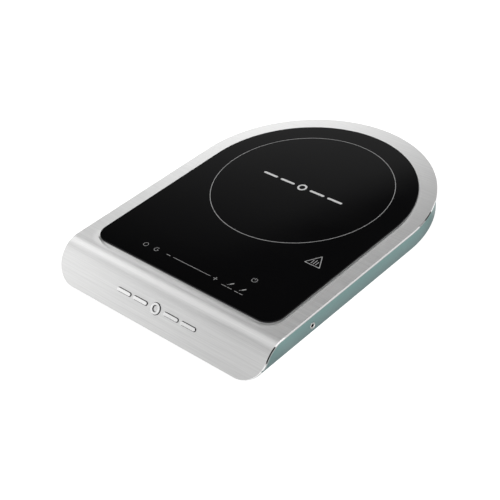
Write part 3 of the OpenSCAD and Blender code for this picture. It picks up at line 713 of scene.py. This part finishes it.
def make_motif():
    """Raised ring and bars with bright faces; their side walls and a thin seat round the foot of each are painted
    shade, dark material where shadow falls.
    """
    b = Build()
    top, r = 1.2, 0.2
    prof = [(0.0, -0.1), (0.0, top - r)] + [(r - r * math.cos(a), top - r + r * math.sin(a))
                                            for a in (math.radians(k) for k in (30, 60, 90))] + [(r + 0.12, top)]
    # painted shade: the lowest row, the side wall of each raised piece, takes the dark material
    shade = [1, 0, 0, 0, 0]
    # painted shade: a thin dark seat round the foot of each raised piece stands for its shadow gap
    shade_seat_profile = [(-0.62, -0.1), (-0.62, 0.03), (-0.56, 0.08), (0.0, 0.08)]
    n = 84

    def ring_rows(pr):
        outer, inner = [], []
        for inset, h in pr:
            outer.append(b.loop([on_panel((6.0 - inset) * math.cos(2 * math.pi * k / n),
                                          (6.0 - inset) * math.sin(2 * math.pi * k / n), h) for k in range(n)]))
            inner.append(b.loop([on_panel((3.6 + inset) * math.cos(2 * math.pi * k / n),
                                          (3.6 + inset) * math.sin(2 * math.pi * k / n), h) for k in range(n)]))
        return outer, inner

    for pr, mats, lid in ((prof, shade, True), (shade_seat_profile, [1, 1, 1], False)):
        outer, inner = ring_rows(pr)
        for k, (p, q) in enumerate(zip(outer, outer[1:])):
            b.bridge(p, q, mats[k])
        for k, (p, q) in enumerate(zip(inner, inner[1:])):
            b.bridge(q, p, mats[k])
        b.bridge(outer[-1], inner[-1], 0 if lid else 1)
        b.bridge(inner[0], outer[0], 1)
        for s in (-1, 1):
            for x in (14, 38):
                rows = []
                for inset, h in pr:
                    rows.append(b.loop([on_panel(px, py, h) for px, py in stadium(s * (x + 8), 8, 1.8, inset)]))
                for k, (p, q) in enumerate(zip(rows, rows[1:])):
                    b.bridge(p, q, mats[k])
                b.face(rows[-1], 0 if lid else 1)
                b.face(rows[0][::-1], 1)
    make_piece("front_motif", b.v, b.f, ["polished_steel", "painted_shade_seat"], b.m)


make_motif()


# ------------------------------------------------------------------ glass

def make_glass():
    b = Build()
    # rows of (inset, z, material of the strip above)
    top = GLASS_Z - 0.03
    rows = [(0.9, 48.0, 1), (0.4, 48.0, 1), (0.12, 48.12, 1), (0.0, 48.4, 1), (0.0, 50.6, 1)]
    rows += [(0.02, 50.8, 1), (0.09, 51.66, 1), (0.13, 51.80, 0), (0.21, 51.91, 0), (0.34, top, 0), (1.5, top, 0)]
    loops = []
    for inset, z, _ in rows:
        loops.append(b.loop([(x, y, z) for x, y in d_loop(G_HW, G_CY, G_FY, G_CR, inset, 144, 20, 20, 24)]))
    for (i, z, m), p, q in zip(rows, loops, loops[1:]):
        b.bridge(p, q, m)
    b.face(loops[-1], 0)
    b.face(loops[0][::-1], 1)
    ob = make_piece("ceramic_glass", b.v, b.f, ["black_glass", "ground_glass"], b.m, angle=40)
    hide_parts("glass_top")


make_glass()


# --------------------------------------------------------- prints on glass

P_LO, P_HI = GLASS_Z - 0.035, GLASS_Z - 0.012


def slab_between(b, outer, inner=None):
    """Thin closed print between two outlines, or a filled one."""
    lo = b.loop([(x, y, P_LO) for x, y in outer])
    hi = b.loop([(x, y, P_HI) for x, y in outer])
    b.bridge(lo, hi)
    if inner is None:
        b.face(hi)
        b.face(lo[::-1])
        return
    il = b.loop([(x, y, P_LO) for x, y in inner])
    ih = b.loop([(x, y, P_HI) for x, y in inner])
    b.bridge(ih, il)
    b.bridge(hi, ih)
    b.bridge(il, lo)


def circle_pts(cx, cy, r, n):
    return [(cx + r * math.cos(2 * math.pi * k / n), cy + r * math.sin(2 * math.pi * k / n)) for k in range(n)]


def stroke(b, pts, w, n_cap=6):
    """Thin print along an open path, with round ends."""
    left, right = [], []
    m = len(pts)
    for i, p in enumerate(pts):
        a = pts[max(i - 1, 0)]
        c = pts[min(i + 1, m - 1)]
        dx, dy = c[0] - a[0], c[1] - a[1]
        l = math.hypot(dx, dy) or 1.0
        nx, ny = -dy / l, dx / l
        left.append((p[0] + nx * w / 2, p[1] + ny * w / 2))
        right.append((p[0] - nx * w / 2, p[1] - ny * w / 2))

    def cap(p, q, flip):
        ang = math.atan2(q[1] - p[1], q[0] - p[0])
        return [(q[0] + w / 2 * math.cos(ang + math.pi / 2 * (1 - 2 * k / n_cap)),
                 q[1] + w / 2 * math.sin(ang + math.pi / 2 * (1 - 2 * k / n_cap))) for k in range(1, n_cap)]

    end = cap(pts[-2], pts[-1], False)
    start = cap(pts[1], pts[0], False)
    outline = right + end[::-1] + left[::-1] + start[::-1]
    slab_between(b, outline)


def make_prints():
    zone = Build()
    slab_between(zone, circle_pts(0, COIL_Y, 101.4 + 0.33, 240), circle_pts(0, COIL_Y, 101.4 - 0.33, 240))
    make_piece("print_zone_ring", zone.v, zone.f, ["grey_print"], weighted=False)

    mark = Build()                                            # plain ring with two bars on each side
    slab_between(mark, circle_pts(0, COIL_Y, 5.6, 72), circle_pts(0, COIL_Y, 3.4, 72))
    for s in (-1, 1):
        for x in (21.0, 45.5):
            pts = [(px, COIL_Y + py) for px, py in stadium(s * x, 8.4, 1.5, 0.0)]
            slab_between(mark, pts)
    make_piece("print_centre_mark", mark.v, mark.f, ["white_print"], weighted=False)

    icons = Build()
    # two ring symbols on the left
    slab_between(icons, circle_pts(-67.0, -126.2, 2.95, 40), circle_pts(-67.0, -126.2, 2.5, 40))
    open_ring = [(-51.4 + 2.65 * math.cos(math.radians(a)), -125.9 + 2.65 * math.sin(math.radians(a)))
                 for a in range(60, 361, 12)]
    stroke(icons, open_ring, 0.5)
    stroke(icons, [(-50.2, -125.9), (-48.9, -125.9)], 0.5)
    # minus, slider line, plus
    stroke(icons, [(-36.3, -125.6), (-31.6, -125.6)], 0.6)
    stroke(icons, [(-26.9 + 52.7 * k / 12, -125.5) for k in range(13)], 0.46)
    stroke(icons, [(30.5, -125.6), (35.1, -125.6)], 0.6)
    stroke(icons, [(32.8, -127.9), (32.8, -123.3)], 0.6)
    # two slanted probe symbols
    for x0, y0 in ((49.1, -125.7), (65.2, -125.6)):
        stroke(icons, [(x0, y0), (x0 + 2.1, y0 + 2.2)], 0.4)
        stroke(icons, [(x0 + 2.1, y0 + 2.2), (x0 + 4.4, y0 + 4.8)], 1.3)
    # plain bars below them
    stroke(icons, [(44.1, -128.6), (50.3, -128.6)], 0.55)
    stroke(icons, [(52.1, -128.6), (57.4, -128.6)], 0.55)
    stroke(icons, [(61.9, -128.9), (66.6, -128.9)], 0.55)
    stroke(icons, [(68.2, -128.9), (72.4, -128.9)], 0.55)
    # power symbol
    power = [(66.8 + 3.0 * math.cos(math.radians(a)), -104.4 + 3.0 * math.sin(math.radians(a)))
             for a in range(120, 421, 12)]
    stroke(icons, power, 0.45)
    stroke(icons, [(66.8, -104.2), (66.8, -101.0)], 0.45)
    make_piece("print_controls", icons.v, icons.f, ["grey_print"], weighted=False)

    tri = Build()
    A, B, C = (87.0, -52.8), (97.3, -35.1), (107.6, -52.7)
    cx, cy = (A[0] + B[0] + C[0]) / 3, (A[1] + B[1] + C[1]) / 3

    def rounded(scale):
        pts = []
        corners = [A, C, B]
        for i, p in enumerate(corners):
            a, c = corners[i - 1], corners[(i + 1) % 3]
            q0 = (p[0] + (a[0] - p[0]) * 0.08, p[1] + (a[1] - p[1]) * 0.08)
            q1 = (p[0] + (c[0] - p[0]) * 0.08, p[1] + (c[1] - p[1]) * 0.08)
            for k in range(7):
                t = k / 6
                x = (1 - t) ** 2 * q0[0] + 2 * t * (1 - t) * p[0] + t * t * q1[0]
                y = (1 - t) ** 2 * q0[1] + 2 * t * (1 - t) * p[1] + t * t * q1[1]
                pts.append((cx + (x - cx) * scale, cy + (y - cy) * scale))
        return pts

    slab_between(tri, rounded(1.0), rounded(0.86))
    for k in (-1, 0, 1):
        stroke(tri, [(cx + k * 3.0, cy - 3.4), (cx + k * 3.0, cy + 1.6 + (1.6 if k == 0 else 0))], 0.8)
    make_piece("print_hot_sign", tri.v, tri.f, ["grey_print"], weighted=False)


make_prints()


# ------------------------------------------------------------ probe socket

def make_bush():
    jy, jz = -109.0, 35.1
    place = lambda u, w, h: (H_HW + h, jy + u, jz + w)
    b = Build()
    prof = [(1.8, -8.0), (1.8, 0.20), (1.86, 0.30), (2.0, 0.36), (2.55, 0.40), (2.72, 0.62), (2.82, 0.78), (2.96, 0.86),
            (3.12, 0.88), (3.28, 0.82), (3.42, 0.66), (3.5, 0.42), (3.5, 0.0), (2.7, 0.0), (2.7, -1.9), (2.7, -7.7),
            (2.4, -8.0)]
    mats = [1, 1, 1, 0, 0, 0, 0, 0, 0, 0, 0, 0, 0, 0, 0, 0, 0]
    b.lathe(prof, place, 72, mats=mats, closed=True)
    ob = make_piece("probe_bush_ring", b.v, b.f, ["nickel", "dark_bore"], b.m, angle=45)
    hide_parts("probe_bush")


make_bush()


# ---------------------------------------------------------- leads inside

def lead(b, pts, r, bend=2.4, seg=20, steps=6):
    """Round lead along a route whose corners are rounded, closed at both ends."""
    pts = [Vector(p) for p in pts]
    path = [pts[0]]
    for p, q, s in zip(pts, pts[1:], pts[2:]):
        k = min(bend, (p - q).length * 0.45, (s - q).length * 0.45)
        a, c = q + (p - q).normalized() * k, q + (s - q).normalized() * k
        for i in range(steps + 1):
            t = i / steps
            path.append(a * (1 - t) ** 2 + q * 2 * t * (1 - t) + c * t ** 2)
    path.append(pts[-1])
    rows, side = [], None
    for i, p in enumerate(path):
        d = (path[min(i + 1, len(path) - 1)] - path[max(i - 1, 0)]).normalized()
        if side is None:
            side = d.orthogonal().normalized()
        side = (side - d * side.dot(d)).normalized()
        up = d.cross(side)
        rows.append(b.loop([tuple(p + side * (r * math.cos(2 * math.pi * j / seg)) + up * (r * math.sin(2 * math.pi * j / seg)))
                            for j in range(seg)]))
    for a, c in zip(rows, rows[1:]):
        b.bridge(a, c)
    b.face(rows[0][::-1])
    b.face(rows[-1])


def make_leads():
    b = Build()
    for x in (-2.0, 3.0, 8.0):
        lead(b, [(x, 125, 10.2), (x, -44, 10.2), (x, -44, 14.9), (x, -60, 14.9)], 1.3)
    ob = make_piece("mains_lead_set", b.v, b.f, ["lead_insulation"], weighted=False, angle=50)
    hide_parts("mains_leads")
    b = Build()
    lead(b, [(-91.2, 47.9, 44.1), (-91.2, 40.9, 44.1), (-99.6, 40.9, 44.1), (-99.6, 40.9, 15.3), (-89, 40.9, 15.3)], 1.6)
    lead(b, [(-21, 47.9, 44.1), (-21, 51.9, 44.1), (-21, 51.9, 31.6), (-21, 2, 31.6), (-21, 2, 13.6)], 1.6)
    ob = make_piece("coil_lead_pair", b.v, b.f, ["silicone"], weighted=False, angle=50)
    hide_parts("coil_leads")


make_leads()


# -------------------------------------------------- CAD nodes that are kept

for sub in frame["record"]["subparts"]:
    node = frame["nodes"].get(sub["node"])
    if node is None:
        continue
    mat = MAT["fan_plastic" if sub["node"] == "fan_rotor" else sub["material_slot"]]
    if node.material_slots:
        for ms in node.material_slots:
            ms.material = mat
    else:
        node.data.materials.append(mat)


# ------------------------------------------------------- floor, tent, world

def make_floor():
    me = bpy.data.meshes.new("floor")
    s = 30.0
    n = 12
    verts = [(-s + 2 * s * i / n, -s + 2 * s * j / n, 0.0) for j in range(n + 1) for i in range(n + 1)]
    faces = [(j * (n + 1) + i, j * (n + 1) + i + 1, (j + 1) * (n + 1) + i + 1, (j + 1) * (n + 1) + i)
             for j in range(n) for i in range(n)]
    me.from_pydata(verts, [], faces)
    ob = bpy.data.objects.new("floor", me)
    scene.collection.objects.link(ob)
    m = bpy.data.materials.new("floor_white")
    m.use_nodes = True
    p = next(x for x in m.node_tree.nodes if x.type == "BSDF_PRINCIPLED")
    p.inputs["Base Color"].default_value = (0.25, 0.25, 0.25, 1)
    p.inputs["Roughness"].default_value = 0.9
    p.inputs["Specular IOR Level"].default_value = 0.0
    p.inputs["Emission Color"].default_value = (1, 1, 1, 1)
    p.inputs["Emission Strength"].default_value = 1.0
    # one-sided, so that the object can be seen from below too
    t = m.node_tree
    geo = t.nodes.new("ShaderNodeNewGeometry")
    clear = t.nodes.new("ShaderNodeBsdfTransparent")
    side = t.nodes.new("ShaderNodeMixShader")
    out = next(x for x in t.nodes if x.type == "OUTPUT_MATERIAL")
    t.links.new(geo.outputs["Backfacing"], side.inputs[0])
    t.links.new(p.outputs[0], side.inputs[1])
    t.links.new(clear.outputs[0], side.inputs[2])
    t.links.new(side.outputs[0], out.inputs["Surface"])
    me.materials.append(m)
    return ob


def make_tent():
    """Light tent: half a tube round the X axis, whose inside glows softly and unevenly."""
    R, L = 1.5, 2.5
    n, k = 64, 24
    verts = []
    for i in range(n + 1):
        a = math.pi * i / n
        for j in range(k + 1):
            verts.append((-L + 2 * L * j / k, R * math.cos(a), R * math.sin(a)))
    faces = [(i * (k + 1) + j, i * (k + 1) + j + 1, (i + 1) * (k + 1) + j + 1, (i + 1) * (k + 1) + j)
             for i in range(n) for j in range(k)]
    me = bpy.data.meshes.new("light_tent")
    me.from_pydata(verts, [], faces)
    me.shade_smooth()
    ob = bpy.data.objects.new("light_tent", me)
    scene.collection.objects.link(ob)
    m = bpy.data.materials.new("tent_light")
    m.use_nodes = True
    t = m.node_tree
    for x in list(t.nodes):
        if x.type != "OUTPUT_MATERIAL":
            t.nodes.remove(x)
    out = next(x for x in t.nodes if x.type == "OUTPUT_MATERIAL")
    co = t.nodes.new("ShaderNodeTexCoord")
    sep = t.nodes.new("ShaderNodeSeparateXYZ")
    t.links.new(co.outputs["Object"], sep.inputs[0])
    ang = t.nodes.new("ShaderNodeMath")
    ang.operation = "ARCTAN2"
    t.links.new(sep.outputs["Z"], ang.inputs[0])
    t.links.new(sep.outputs["Y"], ang.inputs[1])
    psi = t.nodes.new("ShaderNodeMath")
    psi.operation = "MULTIPLY"
    psi.inputs[1].default_value = 180.0 / math.pi
    t.links.new(ang.outputs[0], psi.inputs[0])

    def soft(source, lo, hi, a=0.0, b=1.0):
        mr = t.nodes.new("ShaderNodeMapRange")
        mr.interpolation_type = "SMOOTHSTEP"
        for k, v in (("From Min", lo), ("From Max", hi), ("To Min", a), ("To Max", b)):
            mr.inputs[k].default_value = v
        t.links.new(source, mr.inputs["Value"])
        return mr.outputs["Result"]

    def calc(op, p, q):
        n = t.nodes.new("ShaderNodeMath")
        n.operation = op
        for i, v in enumerate((p, q)):
            if isinstance(v, (int, float)):
                n.inputs[i].default_value = v
            else:
                t.links.new(v, n.inputs[i])
        return n.outputs[0]

    x = sep.outputs["X"]
    glow = TENT_BASE
    # each soft box: brightness, where it starts and stops round the tube (soft edges), and how it fades to the right
    for power, rise, fall, (xc, xw, rest), cut in TENT_BOXES:
        part = soft(x, xc - xw, xc + xw, power, power * rest)
        if cut:                                                # a dark card in front of part of the box
            u0, u1, keep = cut
            slant = calc("ADD", x, calc("MULTIPLY", psi.outputs[0], 0.03))
            part = calc("MULTIPLY", part, soft(slant, u0, u1, 1.0, keep))
        if rise:
            part = calc("MULTIPLY", part, soft(psi.outputs[0], rise[0] - rise[1], rise[0] + rise[1]))
        if fall:
            part = calc("MULTIPLY", part, soft(psi.outputs[0], fall[0] - fall[1], fall[0] + fall[1], 1.0, 0.0))
        glow = calc("ADD", part, glow)
    em = t.nodes.new("ShaderNodeEmission")
    t.links.new(glow, em.inputs["Strength"])
    t.links.new(em.outputs[0], out.inputs["Surface"])
    me.materials.append(m)
    ob.visible_camera = False
    ob.visible_shadow = True
    return ob


TENT_BASE = 0.02
TENT_BOXES = [
    (4.00, (22.0, 7.0), (42.5, 15.8), (-1.452, 0.90, 0.51), (0.36, 0.52, 0.10)),     # behind
    (1.662, (74.7, 13.0), (106.7, 13.0), (-1.191, 0.10, 0.70), None),                # overhead strip
    (1.150, (117.0, 18.8), None, (-1.123, 0.25, 0.60), None),                        # in front
]


def make_flag(name, corners, glow=0.0):
    """Small card lying beside the object, black or glowing, seen only in reflections."""
    me = bpy.data.meshes.new(name)
    n = 4
    (x0, y0), (x1, y1), (x2, y2), (x3, y3) = corners
    verts = []
    for j in range(n + 1):
        for i in range(n + 1):
            u, v = i / n, j / n
            verts.append((((x0 * (1 - u) + x1 * u) * (1 - v) + (x3 * (1 - u) + x2 * u) * v) * MM,
                          ((y0 * (1 - u) + y1 * u) * (1 - v) + (y3 * (1 - u) + y2 * u) * v) * MM, 0.0006))
    faces = [(j * (n + 1) + i, j * (n + 1) + i + 1, (j + 1) * (n + 1) + i + 1, (j + 1) * (n + 1) + i)
             for j in range(n) for i in range(n)]
    me.from_pydata(verts, [], faces)
    ob = bpy.data.objects.new(name, me)
    scene.collection.objects.link(ob)
    m = bpy.data.materials.new(name)
    m.use_nodes = True
    p = next(x for x in m.node_tree.nodes if x.type == "BSDF_PRINCIPLED")
    p.inputs["Base Color"].default_value = (0.02, 0.02, 0.02, 1)
    p.inputs["Roughness"].default_value = 1.0
    p.inputs["Emission Color"].default_value = (1, 1, 1, 1)
    p.inputs["Emission Strength"].default_value = glow
    p.inputs["Specular IOR Level"].default_value = 0.0
    me.materials.append(m)
    ob.visible_camera = False
    ob.visible_diffuse = False
    ob.visible_shadow = False


make_flag("card_front", [(160, -126), (212, -126), (212, -110), (160, -110)], 1.15)
make_flag("flag_front", [(160, -153), (212, -153), (212, -126), (160, -126)])
make_flag("flag_mid", [(162, 118), (180, 134), (167, 151), (149, 135)], 0.32)
make_flag("flag_back", [(149, 135), (167, 151), (147.5, 169.5), (129.5, 153.5)])
make_flag("card_corner", [(172, -156), (190, -170), (132, -200), (116, -176)], 1.0)
make_flag("card_back", [(130, 152), (144, 174), (116, 190), (104, 168)], 1.15)


def make_shadow_card():
    """Soft grey card on the floor round the object: it stands for the contact shadow in the reflections."""
    offs = [(-44, 0.80), (-26, 0.70), (-12, 0.25), (-4, 0.08), (0, 0.10), (8, 0.24), (16, 0.42), (26, 0.60), (36, 0.74), (46, 0.85), (60, 0.95),
            (85, 1.06), (120, 1.16)]
    verts, glow, loops = [], [], []
    for off, g in offs:
        pts = d_loop(H_HW, ARC_Y, -TOP_D / 2 + 6, 30.0, -off, 96, 16, 16, 16)
        loops.append(list(range(len(verts), len(verts) + len(pts))))
        verts += [(x * MM, y * MM, 0.0004) for x, y in pts]
        glow += [g] * len(pts)
    faces = [tuple(loops[0])]
    for p, q in zip(loops, loops[1:]):
        m = len(p)
        faces += [(p[i], q[i], q[(i + 1) % m], p[(i + 1) % m]) for i in range(m)]
    me = bpy.data.meshes.new("shadow_card")
    me.from_pydata(verts, [], faces)
    at = me.attributes.new("glow", "FLOAT", "POINT")
    at.data.foreach_set("value", glow)
    ob = bpy.data.objects.new("shadow_card", me)
    scene.collection.objects.link(ob)
    m = bpy.data.materials.new("shadow_card")
    m.use_nodes = True
    t = m.node_tree
    for x in list(t.nodes):
        if x.type != "OUTPUT_MATERIAL":
            t.nodes.remove(x)
    out = next(x for x in t.nodes if x.type == "OUTPUT_MATERIAL")
    a = t.nodes.new("ShaderNodeAttribute")
    a.attribute_name = "glow"
    em = t.nodes.new("ShaderNodeEmission")
    t.links.new(a.outputs["Fac"], em.inputs["Strength"])
    t.links.new(em.outputs[0], out.inputs["Surface"])
    me.materials.append(m)
    ob.visible_camera = False
    ob.visible_shadow = False


make_shadow_card()

make_floor()
make_tent()

world = bpy.data.worlds.new("world")
scene.world = world
world.use_nodes = True
bg = world.node_tree.nodes["Background"]
bg.inputs["Color"].default_value = (1, 1, 1, 1)
bg.inputs["Strength"].default_value = 1.0
